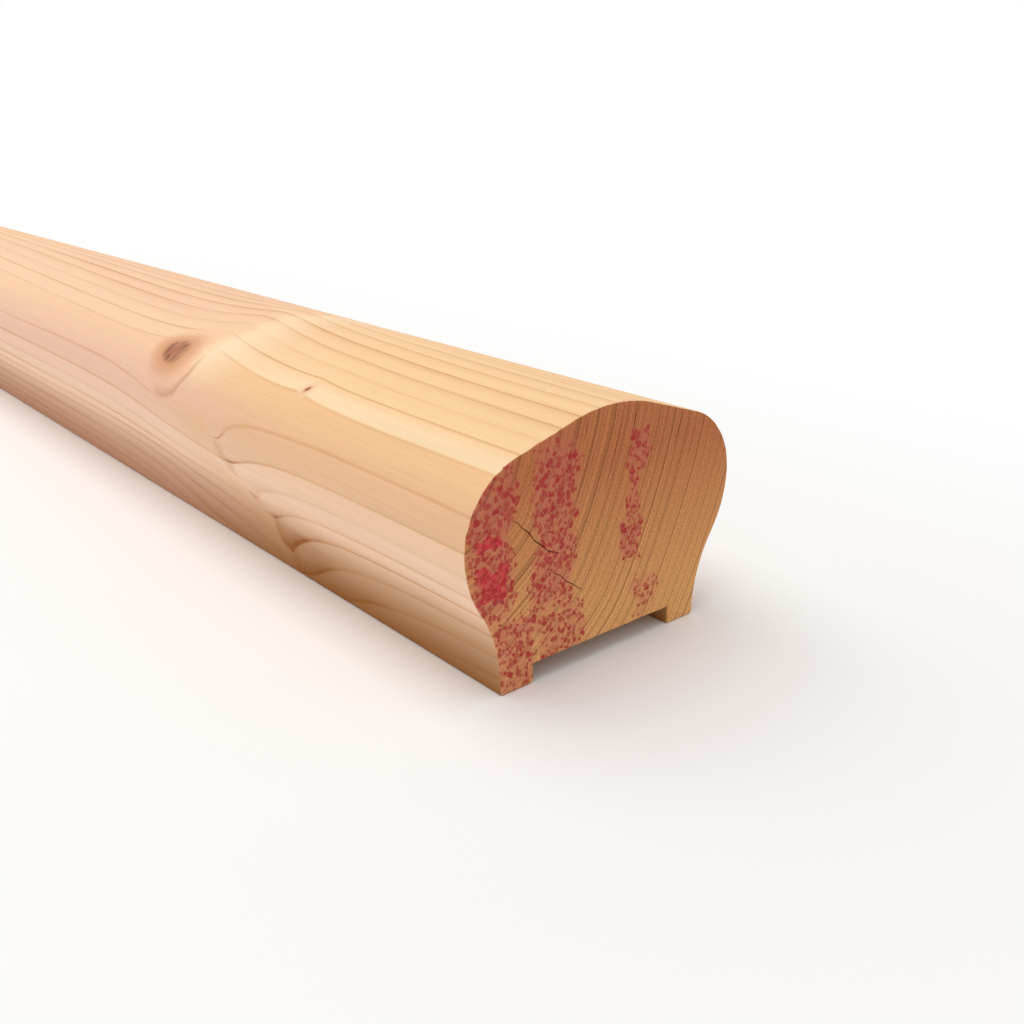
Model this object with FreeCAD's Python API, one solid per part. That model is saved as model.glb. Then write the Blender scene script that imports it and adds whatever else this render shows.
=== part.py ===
"""Stair handrail length: one piece of moulded softwood with a groove for the balusters along its underside.

The rail lies on its two feet with its length along X and its moulded top up.
The origin is the middle of the base, and all sizes are millimetres.
"""
import FreeCAD, Part
import math
import os

from FreeCAD import Vector

# Stock
rail_length = 2400.0
rail_height = 44.5

# Underside: a shallow square groove between two narrow feet
groove_width = 33.0
groove_depth = 3.5
foot_width = 7.0
foot_land = 1.5
foot_arris = 0.5

# Moulded top: a crown, two sloping roofs and two full shoulders
crown_radius = 32.0
roof_pitch = 17.0
shoulder_radius = 14.0
shoulder_overhang = 7.25

# Flank: a reverse curve that tucks from the shoulder in to the foot.
# The share is how much of it is the full, outward half. The rest is the hollow waist.
haunch_share = 0.42


def point(across: float, up: float) -> Vector:
    """Place a point of the section in the plane of the near cut end.

    Args:
        across: Distance from the middle of the rail.
        up: Height above the feet.

    Returns:
        The point in the part's own frame.
    """
    return Vector(-rail_length / 2, across, up)


def arc_edge(centre_across: float, centre_up: float, radius: float, start: float, end: float) -> Part.Edge:
    """Make an arc of the section from its centre, radius and two angles.

    Args:
        centre_across: Distance of the centre from the middle of the rail.
        centre_up: Height of the centre above the feet.
        radius: Radius of the arc.
        start: First angle in radians, from the outward horizontal and turning up.
        end: Last angle in radians.

    Returns:
        The arc as an edge.
    """
    places = []
    for angle in (start, (start + end) / 2, end):
        across = centre_across + radius * math.cos(angle)
        up = centre_up + radius * math.sin(angle)
        places.append(point(across, up))
    return Part.Arc(*places).toShape()


def line_edge(start: Vector, end: Vector) -> Part.Edge:
    """Make a straight edge of the section between two points."""
    return Part.LineSegment(start, end).toShape()


def last_point(edge: Part.Edge) -> Vector:
    """Give the point where an edge ends."""
    return edge.valueAt(edge.LastParameter)


def first_point(edge: Part.Edge) -> Vector:
    """Give the point where an edge starts."""
    return edge.valueAt(edge.FirstParameter)


def moulded_side() -> list:
    """Draw one side of the moulding, from the top of the crown down to the edge of the groove.

    Every curve leaves the one above it in the same direction, so the moulding has no hard line.

    Returns:
        The edges of the side, without the straight lines that close it.
    """
    pitch = math.radians(roof_pitch)
    half_groove = groove_width / 2
    half_base = half_groove + foot_width
    half_width = half_base + shoulder_overhang

    crown_up = rail_height - crown_radius
    shoulder_across = half_width - shoulder_radius
    roof_drop = (crown_radius - shoulder_radius - shoulder_across * math.sin(pitch)) / math.cos(pitch)
    shoulder_up = crown_up + roof_drop
    square = math.pi / 2

    crown = arc_edge(0.0, crown_up, crown_radius, square, square - pitch)
    shoulder = arc_edge(shoulder_across, shoulder_up, shoulder_radius, square - pitch, 0.0)

    # The two arcs of the reverse curve are upright at the shoulder and at the foot, and touch between.
    tuck_height = shoulder_up - foot_land
    lean = 2 * math.atan(shoulder_overhang / tuck_height)
    both_radii = tuck_height / math.sin(lean)
    haunch_radius = haunch_share * both_radii
    waist_radius = both_radii - haunch_radius
    haunch = arc_edge(half_width - haunch_radius, shoulder_up, haunch_radius, 0.0, -lean)
    waist = arc_edge(half_base + waist_radius, foot_land, waist_radius, math.pi - lean, math.pi)

    arris = arc_edge(half_base - foot_arris, foot_arris, foot_arris, 0.0, -square)
    return [crown, shoulder, haunch, waist, arris]


def half_outline() -> Part.Wire:
    """Join one side of the moulding, the foot and half of the groove into an open outline.

    Returns:
        The outline from the top of the crown to the middle of the groove's ceiling.
    """
    crown, shoulder, haunch, waist, arris = moulded_side()
    half_groove = groove_width / 2
    groove_mouth = point(half_groove, 0.0)
    groove_corner = point(half_groove, groove_depth)
    groove_middle = point(0.0, groove_depth)
    edges = [
        crown,
        line_edge(last_point(crown), first_point(shoulder)),
        shoulder,
        haunch,
        waist,
        line_edge(last_point(waist), first_point(arris)),
        arris,
        line_edge(last_point(arris), groove_mouth),
        line_edge(groove_mouth, groove_corner),
        line_edge(groove_corner, groove_middle),
    ]
    return Part.Wire(edges)


def handrail() -> Part.Shape:
    """Run the section along the whole length of the rail.

    Returns:
        The rail as one solid.
    """
    near_half = half_outline()
    far_half = near_half.mirror(Vector(0, 0, 0), Vector(0, 1, 0))
    outline = Part.Wire(Part.__sortEdges__(near_half.Edges + far_half.Edges))
    rail = Part.Face(outline).extrude(Vector(rail_length, 0, 0))
    return rail.removeSplitter()


os.makedirs("parts", exist_ok=True)
handrail().exportStep("parts/handrail.step")
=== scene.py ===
"""A length of moulded pine stair handrail, as it lies on its feet with its marked end towards the viewer.

The rail is one piece of softwood. Its section is drawn and run along the length as a spindle moulder would,
its two ends are sawn, and one solid growth-ring pattern feeds the planed sides and the sawn ends alike,
so that every line on a side meets its own line on the end.
"""

import logging
from collections.abc import Callable
from dataclasses import dataclass
from enum import Enum
from functools import partial
from math import atan, atan2, cos, exp, pi, radians, sin

import bpy
from mathutils import Matrix, Vector


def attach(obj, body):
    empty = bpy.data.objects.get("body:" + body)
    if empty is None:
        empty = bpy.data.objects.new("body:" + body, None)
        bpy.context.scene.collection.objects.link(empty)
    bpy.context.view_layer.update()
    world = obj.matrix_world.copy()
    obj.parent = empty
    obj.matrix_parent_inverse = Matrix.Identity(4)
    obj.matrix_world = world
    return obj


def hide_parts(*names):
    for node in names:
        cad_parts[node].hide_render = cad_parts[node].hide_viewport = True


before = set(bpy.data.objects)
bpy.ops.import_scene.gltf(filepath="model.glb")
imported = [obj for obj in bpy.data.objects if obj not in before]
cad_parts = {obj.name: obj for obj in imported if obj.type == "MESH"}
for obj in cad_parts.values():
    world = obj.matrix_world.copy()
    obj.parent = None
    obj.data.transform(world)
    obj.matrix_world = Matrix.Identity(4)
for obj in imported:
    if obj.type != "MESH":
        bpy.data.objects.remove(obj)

LOG = logging.getLogger("handrail")

MM = 0.001
TO_MM = (1000.0, 1000.0, 1000.0)
WHITE = (1.0, 1.0, 1.0, 1.0)
# How squarely a face looks along the rail if it belongs to an end.
END_FACING = 0.5

Colour = tuple[float, float, float, float]
Point = tuple[float, float]
Triple = tuple[float, float, float]
Tree = bpy.types.NodeTree
Node = bpy.types.Node
Socket = bpy.types.NodeSocket
Piece = bpy.types.Object
Feed = Node | Socket | float | Colour
Add = Callable[..., Node]


def linear(hex_code: str) -> Colour:
    """Turn an sRGB hex colour into the linear values that shaders use.

    Args:
        hex_code: Six hex digits, with or without a leading hash.

    Returns:
        Linear red, green and blue with full alpha.
    """
    digits = hex_code.lstrip("#")
    channels = []
    for start in (0, 2, 4):
        value = int(digits[start:start + 2], 16) / 255
        if value <= 0.04045:
            channels.append(value / 12.92)
        else:
            channels.append(((value + 0.055) / 1.055) ** 2.4)
    return channels[0], channels[1], channels[2], 1.0


class Kind(Enum):
    """The kinds of node in use: Blender's type, and the settings that pick what it does."""

    ADD = ("Math", {"operation": "ADD"})
    SUBTRACT = ("Math", {"operation": "SUBTRACT"})
    MULTIPLY = ("Math", {"operation": "MULTIPLY"})
    MULTIPLY_ADD = ("Math", {"operation": "MULTIPLY_ADD"})
    DIVIDE = ("Math", {"operation": "DIVIDE"})
    POWER = ("Math", {"operation": "POWER"})
    MAXIMUM = ("Math", {"operation": "MAXIMUM"})
    MINIMUM = ("Math", {"operation": "MINIMUM"})
    ABSOLUTE = ("Math", {"operation": "ABSOLUTE"})
    COSINE = ("Math", {"operation": "COSINE"})
    ARCTAN2 = ("Math", {"operation": "ARCTAN2"})
    FRACT = ("Math", {"operation": "FRACT"})
    FLOOR = ("Math", {"operation": "FLOOR"})
    LESS_THAN = ("Math", {"operation": "LESS_THAN"})
    VECTOR_ADD = ("VectorMath", {"operation": "ADD"})
    VECTOR_SUBTRACT = ("VectorMath", {"operation": "SUBTRACT"})
    VECTOR_MULTIPLY = ("VectorMath", {"operation": "MULTIPLY"})
    VECTOR_MULTIPLY_ADD = ("VectorMath", {"operation": "MULTIPLY_ADD"})
    VECTOR_ABSOLUTE = ("VectorMath", {"operation": "ABSOLUTE"})
    DOT_PRODUCT = ("VectorMath", {"operation": "DOT_PRODUCT"})
    LENGTH = ("VectorMath", {"operation": "LENGTH"})
    SEPARATE = ("SeparateXYZ", {})
    COMBINE = ("CombineXYZ", {})
    LOCAL_PLACE = ("Mapping", {"vector_type": "TEXTURE"})
    COORDINATES = ("TexCoord", {})
    RANGE = ("MapRange", {})
    EASED_RANGE = ("MapRange", {"interpolation_type": "SMOOTHSTEP"})
    RAMP = ("ValToRGB", {})
    NOISE = ("TexNoise", {})
    NOISE_1D = ("TexNoise", {"noise_dimensions": "1D"})
    WHITE_NOISE_1D = ("TexWhiteNoise", {"noise_dimensions": "1D"})
    CELLS_2D = ("TexVoronoi", {"voronoi_dimensions": "2D"})
    SEPARATE_COLOUR = ("SeparateColor", {})
    MIX = ("Mix", {"data_type": "RGBA"})
    TINT = ("Mix", {"data_type": "RGBA", "blend_type": "MULTIPLY"})
    GROUP = ("Group", {})
    BUMP = ("Bump", {})
    LIGHT_PATH = ("LightPath", {})
    EMISSION = ("Emission", {})
    BACKGROUND = ("Background", {})
    MIX_SHADER = ("MixShader", {})
    WORLD_OUTPUT = ("OutputWorld", {})


def plug(feed: Feed, socket: Socket) -> None:
    """Link a node's first output in use or a socket to an input, or fill the input with a value.

    Args:
        feed: The node, socket or value.
        socket: The input.
    """
    if isinstance(feed, Node):
        feed = next(output for output in feed.outputs if output.enabled)
    if isinstance(feed, Socket):
        socket.id_data.links.new(feed, socket)
    else:
        socket.default_value = feed


def wire(tree: Tree, kind: Kind, *feeds: Feed, named: dict[str, Feed] | None = None,
         stops: tuple[Point, ...] = (), **settings: object) -> Node:
    """Add a node with its settings, and link or fill its inputs.

    Args:
        tree: The node tree that gets the node.
        kind: The kind of node.
        feeds: Values, sockets or nodes for the inputs in use, in order.
        named: More of the same, by the input's name.
        stops: Place and grey level of each stop of a ramp, in order.
        settings: More properties of the node.

    Returns:
        The new node.
    """
    type_name, choices = kind.value
    node = tree.nodes.new("ShaderNode" + type_name)
    for setting, value in (choices | settings).items():
        setattr(node, setting, value)
    if stops:
        elements = node.color_ramp.elements
        while len(elements) < len(stops):
            elements.new(1.0)
        for element, (place, level) in zip(elements, stops):
            element.position = place
            element.color = (level, level, level, 1.0)
    in_use = [socket for socket in node.inputs if socket.enabled]
    pairs = list(zip(in_use, feeds))
    for name, feed in (named or {}).items():
        pairs.append((node.inputs[name], feed))
    for socket, feed in pairs:
        plug(feed, socket)
    return node


def patches(add: Add, place_mm: Node, size: Triple, detail: float) -> Socket:
    """Spread soft random patches of a real size through the wood.

    Args:
        add: Adds a node to the tree.
        place_mm: Place in the rail in millimetres.
        size: The patches' length, width and height in millimetres.
        detail: How many finer layers lie over them.

    Returns:
        A level from 0 to 1, mostly near the middle.
    """
    scaled = add(Kind.VECTOR_MULTIPLY, place_mm, tuple(1 / side for side in size))
    return add(Kind.NOISE, scaled, 1.0, detail).outputs["Fac"]


def lay(add: Add, ground: Feed, *coats: tuple[Feed, str]) -> Feed:
    """Lay coats of colour on a ground, one over the other.

    Args:
        add: Adds a node to the tree.
        ground: The colour below.
        coats: The share and the hex colour of each coat.

    Returns:
        The colour on top.
    """
    for share, hex_code in coats:
        ground = add(Kind.MIX, share, ground, linear(hex_code))
    return ground


def activate(piece: Piece) -> None:
    """Make a piece the only one that is selected and the active one.

    Args:
        piece: The piece.
    """
    bpy.ops.object.select_all(action="DESELECT")
    piece.select_set(True)
    bpy.context.view_layer.objects.active = piece


def start_point(place: Triple) -> Piece:
    """Add a small plane and merge it to a single vertex, which is left selected in edit mode.

    Args:
        place: Where the vertex goes, in millimetres.

    Returns:
        The object with the vertex in it.
    """
    bpy.ops.object.select_all(action="DESELECT")
    bpy.ops.mesh.primitive_plane_add(size=MM, location=[side * MM for side in place])
    bpy.ops.object.transform_apply(location=True, rotation=True, scale=True)
    bpy.ops.object.mode_set(mode="EDIT")
    bpy.ops.mesh.select_mode(type="VERT")
    bpy.ops.mesh.select_all(action="SELECT")
    bpy.ops.mesh.merge(type="CENTER")
    return bpy.context.object


def extrude(move: Triple) -> None:
    """Extrude what is selected by a move in metres."""
    bpy.ops.mesh.extrude_region_move(TRANSFORM_OT_translate={"value": move})


def face_outwards() -> None:
    """Turn all faces of the mesh in edit mode outwards, and leave edit mode."""
    bpy.ops.mesh.select_all(action="SELECT")
    bpy.ops.mesh.normals_make_consistent(inside=False)
    bpy.ops.object.mode_set(mode="OBJECT")


def pick_faces(piece: Piece, wanted: Callable[[bpy.types.MeshPolygon], bool]) -> None:
    """Select the faces that pass a test, and leave the piece in edit mode.

    Args:
        piece: The piece, which is the active object.
        wanted: The test.
    """
    bpy.ops.object.mode_set(mode="EDIT")
    bpy.ops.mesh.select_mode(type="FACE")
    bpy.ops.mesh.select_all(action="DESELECT")
    bpy.ops.object.mode_set(mode="OBJECT")
    for face in piece.data.polygons:
        face.select = wanted(face)
    bpy.ops.object.mode_set(mode="EDIT")


# How far out from the pith a branch's place along the rail is given.
BRANCH_DATUM = 25.0


@dataclass(frozen=True)
class Branch:
    """A branch that leaves the pith and pushes the growth rings out round itself.

    Sizes are millimetres and degrees. Places along the rail are counted from the marked end.
    """

    along: float
    bearing: float
    lean: float
    swell: float
    reach_back: float
    reach_front: float
    spread: float

    @property
    def leans(self) -> bool:
        """Tell a branch that leans far along the rail from one that stands out from it."""
        return self.lean > 0.5

    @property
    def turns_grain(self) -> bool:
        """Tell a branch that turns the grain beside it from a slight swelling."""
        return self.swell > 0.15

    def offset(self, add: Add, along: Node, radius: Socket) -> Node:
        """Measure how far a spot lies before the branch's axis, towards the marked end.

        Args:
            add: Adds a node to the tree.
            along: Distance along the rail.
            radius: Distance from the pith.

        Returns:
            The distance, which is negative behind the axis.
        """
        axis = add(Kind.MULTIPLY_ADD, radius, self.lean, self.along - self.lean * BRANCH_DATUM)
        return add(Kind.SUBTRACT, along, axis)

    def closeness(self, add: Add, offset: Node, bearing: Node, radius: Socket) -> Node:
        """Measure how close a spot is to the branch.

        Args:
            add: Adds a node to the tree.
            offset: Distance before the branch's axis.
            bearing: Direction from the pith.
            radius: Distance from the pith.

        Returns:
            The closeness, which is 1 on the branch's axis.
        """
        front = add(Kind.MAXIMUM, offset, 0.0)
        back = add(Kind.MINIMUM, offset, 0.0)
        front_part = add(Kind.MULTIPLY, front, 1 / self.reach_front)
        if self.leans:
            # The fold in front of a leaning branch widens as the tree grows.
            widening = add(Kind.DIVIDE, BRANCH_DATUM, radius)
            front_part = add(Kind.MULTIPLY, front_part, widening)
        length_part = add(Kind.MULTIPLY_ADD, back, -1 / self.reach_back, front_part)
        turn_part = add(Kind.MULTIPLY_ADD, bearing, 1 / self.spread, -radians(self.bearing) / self.spread)
        both = add(Kind.COMBINE, length_part, turn_part)
        away = add(Kind.LENGTH, both).outputs["Value"]
        return add(Kind.POWER, exp(-1.0), away)


# The whorl by the marked end comes first, then a gentle swelling at that end, a pin branch,
# and the whorls along the rest of the rail, about a year's growth apart.
BRANCHES = (
    Branch(-103.5, -17.0, 0.09, 0.245, 13.0, 25.0, 0.87),
    Branch(-79.5, -72.0, 0.62, 0.245, 27.0, 15.5, 0.12),
    Branch(10.0, -43.0, 0.00, 0.090, 70.0, 70.0, 0.50),
    Branch(-57.0, -17.5, 0.30, 0.060, 4.0, 4.0, 0.12),
    Branch(-455.0, -25.0, 0.25, 0.220, 16.0, 24.0, 0.35),
    Branch(-440.0, -82.0, 0.60, 0.200, 24.0, 16.0, 0.16),
    Branch(-815.0, -12.0, 0.20, 0.220, 16.0, 22.0, 0.32),
    Branch(-800.0, -96.0, 0.60, 0.200, 22.0, 16.0, 0.16),
    Branch(-1190.0, -18.0, 0.12, 0.240, 14.0, 24.0, 0.45),
    Branch(-1172.0, -71.0, 0.80, 0.240, 26.0, 16.0, 0.13),
    Branch(-1565.0, -35.0, 0.30, 0.220, 18.0, 22.0, 0.30),
    Branch(-1548.0, -97.0, 0.60, 0.200, 22.0, 16.0, 0.16),
    Branch(-1955.0, -12.0, 0.20, 0.240, 16.0, 24.0, 0.36),
    Branch(-2290.0, -42.0, 0.30, 0.220, 18.0, 22.0, 0.30),
)


@dataclass(frozen=True)
class Knot:
    """A branch cut through by the surface: a rim of turned grain round a dark core.

    Sizes are millimetres. Along is counted from the marked end and girth round the section from the crown,
    with the front side positive. Each half size is given along the rail, then round the section.
    """

    along: float
    girth: float
    half: Point
    core_shift: Point
    core_half: Point


# How deep below the surface a knot's look reaches, and a distance in knots that is clear of them all.
KNOT_DEPTH = 14.0
FAR_FROM_KNOTS = 9.0
# The half length from which a knot has a rim, which way that faces along the rail and round the section,
# and how far out it reaches.
RIMMED_KNOT = 5.0
RIM_FACING = (0.6, 0.8)
RIM_REACH = 1.15

KNOTS = (
    Knot(-106.5, 25.0, (11.0, 11.5), (-2.9, 0.8), (4.3, 3.3)),
    Knot(-57.0, 23.1, (2.2, 3.2), (0.0, 0.0), (0.42, 0.62)),
    Knot(-457.0, 9.0, (6.0, 5.0), (-0.5, 0.3), (2.2, 1.9)),
    Knot(-446.0, -41.0, (10.0, 8.0), (-1.0, 0.5), (4.2, 3.2)),
    Knot(-448.0, 22.0, (5.0, 5.0), (0.0, 0.4), (1.8, 1.7)),
    Knot(-815.0, 5.0, (5.5, 6.0), (0.3, 0.0), (2.0, 2.0)),
    Knot(-809.0, -26.0, (9.0, 9.0), (1.0, 0.4), (3.6, 3.1)),
    Knot(-801.0, 44.0, (9.0, 7.5), (-0.6, 0.0), (3.5, 2.8)),
    Knot(-1191.0, 23.5, (9.0, 9.5), (-1.2, 0.6), (3.6, 2.9)),
    Knot(-1184.0, -46.0, (11.0, 8.0), (0.8, -0.5), (4.4, 3.3)),
    Knot(-1568.0, 15.5, (5.0, 5.5), (0.0, 0.3), (1.8, 1.8)),
    Knot(-1553.0, -53.0, (10.0, 8.0), (-0.8, 0.3), (3.9, 3.0)),
    Knot(-1547.0, 46.0, (8.0, 7.0), (0.5, 0.2), (3.0, 2.6)),
    Knot(-1956.0, 4.5, (6.0, 7.0), (-0.4, 0.0), (2.4, 2.2)),
    Knot(-1949.0, -25.0, (9.0, 9.0), (0.7, 0.5), (3.5, 3.0)),
    Knot(-2293.0, 29.0, (8.0, 8.5), (-0.5, 0.4), (3.1, 2.6)),
)


@dataclass(frozen=True)
class GrowthRings:
    """The solid pattern of growth rings round the pith, which lies just outside the upper left shoulder.

    Sizes are millimetres. The pith wanders along the rail, as a tree's does.
    """

    rail_length: float = 2400.0
    pith_across: float = -37.2
    pith_up: float = 44.0
    wander_across: float = 7.8
    wander_up: float = 3.4
    wander_pace: float = 186.8
    flat_side: float = -33.5
    flatness: float = 1.257
    rings_per_mm: float = 0.2233
    first_ring: float = -0.759
    outer_wood: float = 46.0
    outer_crowding: float = 0.20
    waver_size: Triple = (180.0, 25.0, 25.0)
    waver: float = 0.35
    line_shift: float = 0.07

    def build(self, rail: "Handrail") -> Tree:
        """Make the node group that both finishes of the wood share.

        Args:
            rail: The rail, whose section the knots lie on.

        Returns:
            A group with the latewood line, a random tone for each ring, the grain that a branch turns on
            its two sides, the ring count and the closeness of knot and core.
        """
        tree = bpy.data.node_groups.new("Pine growth rings", "ShaderNodeTree")
        add = partial(wire, tree)
        place = add(Kind.COORDINATES).outputs["Object"]
        place_mm = add(Kind.VECTOR_MULTIPLY, place, TO_MM)
        parts = add(Kind.SEPARATE, place_mm).outputs
        along = add(Kind.ADD, parts[0], -self.rail_length / 2)
        from_end = add(Kind.VECTOR_ADD, place_mm, (-self.rail_length / 2, 0.0, 0.0))

        across = self.from_pith(add, along, parts[1], self.pith_across, self.wander_across)
        up = self.from_pith(add, along, parts[2], self.pith_up, self.wander_up)
        bearing = add(Kind.ARCTAN2, up, across)
        radius = self.flattened_radius(add, across, up)
        wobble = add(Kind.RANGE, patches(add, place_mm, (9.0, 5.0, 5.0), 2.0), 0.25, 0.75, -3.0, 3.0)
        swelling: Feed = 0.0
        told: dict[str, Feed] = dict.fromkeys(("Crease", "Streak", "Seam", "Crest"), 0.0)
        for branch in BRANCHES:
            offset = branch.offset(add, along, radius)
            closeness = branch.closeness(add, offset, bearing, radius)
            swelling = add(Kind.MULTIPLY_ADD, closeness, branch.swell, swelling)
            if branch.turns_grain:
                self.turn_grain(add, branch.leans, closeness, add(Kind.ADD, offset, wobble), told)

        kept = add(Kind.SUBTRACT, 1.0, swelling)
        told["Ring"] = self.ring_count(add, add(Kind.MULTIPLY, radius, kept), place_mm)
        self.draw_rings(add, told)
        self.add_knots(add, from_end, rail, told)
        for name in told:
            tree.interface.new_socket(name, in_out="OUTPUT", socket_type="NodeSocketFloat")
        outlet = tree.nodes.new("NodeGroupOutput")
        for name, feed in told.items():
            plug(feed, outlet.inputs[name])
        return tree

    def from_pith(self, add: Add, along: Node, place: Socket, start: float, swing: float) -> Node:
        """Measure one coordinate from the wandering pith.

        Args:
            add: Adds a node to the tree.
            along: Distance along the rail.
            place: The coordinate.
            start: The pith's coordinate at the marked end.
            swing: How far the pith wanders.

        Returns:
            The distance from the pith in that coordinate.
        """
        wave = add(Kind.COSINE, add(Kind.MULTIPLY, along, 1.0 / self.wander_pace))
        pith = add(Kind.MULTIPLY_ADD, wave, -swing, start + swing)
        return add(Kind.SUBTRACT, place, pith)

    def flattened_radius(self, add: Add, across: Node, up: Node) -> Socket:
        """Measure the distance from the pith in rings that are a little flat on one side.

        Args:
            add: Adds a node to the tree.
            across: Distance from the pith across the rail.
            up: Distance from the pith upwards.

        Returns:
            The radius.
        """
        turn = radians(self.flat_side)
        spot = add(Kind.COMBINE, across, up)
        outwards = (cos(turn) * self.flatness, sin(turn) * self.flatness, 0.0)
        out = add(Kind.DOT_PRODUCT, spot, outwards).outputs["Value"]
        side = add(Kind.DOT_PRODUCT, spot, (-sin(turn), cos(turn), 0.0)).outputs["Value"]
        return add(Kind.LENGTH, add(Kind.COMBINE, out, side)).outputs["Value"]

    def turn_grain(self, add: Add, leans: bool, closeness: Node, uneven: Node, told: dict[str, Feed]) -> None:
        """Add the grain that one branch turns before and behind itself.

        Args:
            add: Adds a node to the tree.
            leans: Whether the branch leans far along the rail.
            closeness: Closeness to the branch.
            uneven: Distance before the branch's wavering axis.
            told: What the group tells, which the grain is added to.
        """
        # Each look starts at the first distance from the axis, in millimetres, and is full at the second.
        if leans:
            either_way = add(Kind.ABSOLUTE, uneven)
            sides = (("Crease", uneven, -4.0, 2.0), ("Streak", uneven, 2.0, -7.0),
                     ("Seam", either_way, 4.5, 0.0))
        else:
            sides = (("Crest", uneven, -6.0, 10.0), ("Crease", uneven, 1.0, -6.0))
        for name, gap, none, full in sides:
            share = add(Kind.MULTIPLY, closeness, add(Kind.EASED_RANGE, gap, none, full))
            told[name] = add(Kind.MAXIMUM, share, told[name])

    def ring_count(self, add: Add, settled: Node, place_mm: Node) -> Node:
        """Turn a radius into a count of rings, which are wide near the pith and narrow further out.

        The rings waver a little, over about 25 mm across the grain and 180 mm along it.

        Args:
            add: Adds a node to the tree.
            settled: Radius that the spot would have with no branch near it.
            place_mm: Place in the rail in millimetres.

        Returns:
            The ring count.
        """
        inner = add(Kind.MULTIPLY_ADD, settled, self.rings_per_mm, self.first_ring)
        beyond = add(Kind.MAXIMUM, add(Kind.SUBTRACT, settled, self.outer_wood), 0.0)
        ring = add(Kind.MULTIPLY_ADD, beyond, self.outer_crowding, inner)
        centred = add(Kind.SUBTRACT, patches(add, place_mm, self.waver_size, 2.0), 0.5)
        return add(Kind.MULTIPLY_ADD, centred, self.waver, ring)

    def draw_rings(self, add: Add, told: dict[str, Feed]) -> None:
        """Draw each ring's latewood line, and give each ring a tone of its own.

        Args:
            add: Adds a node to the tree.
            told: What the group tells, with the ring count in it.
        """
        shifted = add(Kind.ADD, told["Ring"], self.line_shift)
        # Pale early wood darkens slowly outwards to the line, then breaks off within a fifth of a millimetre.
        told["Latewood"] = add(Kind.RAMP, add(Kind.FRACT, shifted), stops=(
            (0.0, 0.35), (0.05, 0.06), (0.3, 0.06), (0.62, 0.18), (0.84, 0.42), (0.94, 1.0), (0.975, 0.95),
            (1.0, 0.35)))
        told["Tone"] = add(Kind.WHITE_NOISE_1D, add(Kind.FLOOR, shifted))

    def add_knots(self, add: Add, from_end: Node, rail: "Handrail", told: dict[str, Feed]) -> None:
        """Measure how near a spot is to the nearest knot and to its core, where 1 is the edge.

        Args:
            add: Adds a node to the tree.
            from_end: Place in the rail in millimetres from the marked end.
            rail: The rail, whose section the knots lie on.
            told: What the group tells, which the knots are added to.
        """
        told |= {"Knot": FAR_FROM_KNOTS, "Core": FAR_FROM_KNOTS, "Rim": 0.0}
        for knot in KNOTS:
            core_along = knot.along + knot.core_shift[0]
            core_girth = knot.girth + knot.core_shift[1]
            for name, spot, girth, half in (("Knot", knot.along, knot.girth, knot.half),
                                            ("Core", core_along, core_girth, knot.core_half)):
                across, up, facing = rail.surface_at(girth)
                local = add(Kind.LOCAL_PLACE, from_end, (spot, across, up), (facing, 0.0, 0.0),
                            (*half, KNOT_DEPTH))
                away = add(Kind.LENGTH, local).outputs["Value"]
                told[name] = add(Kind.MINIMUM, away, told[name])
                if name == "Knot" and half[0] > RIMMED_KNOT:
                    lower = -RIM_FACING[1] if girth > 0 else RIM_FACING[1]
                    turn = add(Kind.DOT_PRODUCT, local, (RIM_FACING[0], lower, 0.0)).outputs["Value"]
                    near = add(Kind.LESS_THAN, away, RIM_REACH)
                    told["Rim"] = add(Kind.MULTIPLY_ADD, turn, near, told["Rim"])


class WoodSurface:
    """A material of the wood in the making, with what each spot of the wood tells it."""

    def __init__(self, name: str, rings: Tree) -> None:
        """Start the material.

        Args:
            name: The real material's name.
            rings: The growth-ring group.
        """
        self.made = bpy.data.materials.new(name)
        self.made.use_nodes = True
        self.add = partial(wire, self.made.node_tree)
        self.wood = self.add(Kind.GROUP, node_tree=rings).outputs
        place = self.add(Kind.COORDINATES).outputs["Object"]
        self.place_mm = self.add(Kind.VECTOR_MULTIPLY, place, TO_MM)
        self.along, self.across, self.up = self.add(Kind.SEPARATE, self.place_mm).outputs

    def finish(self, colour: Node, roughness: float, sheen: float, relief: Node) -> bpy.types.Material:
        """Fill the shader's sockets.

        Args:
            colour: The surface's colour.
            roughness: How matt it is.
            sheen: How strongly it mirrors.
            relief: Its fine bumps.

        Returns:
            The finished material.
        """
        shader = self.made.node_tree.nodes["Principled BSDF"]
        for name, feed in (("Base Color", colour), ("Roughness", roughness), ("Specular IOR Level", sheen),
                           ("Normal", relief)):
            plug(feed, shader.inputs[name])
        return self.made


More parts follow.
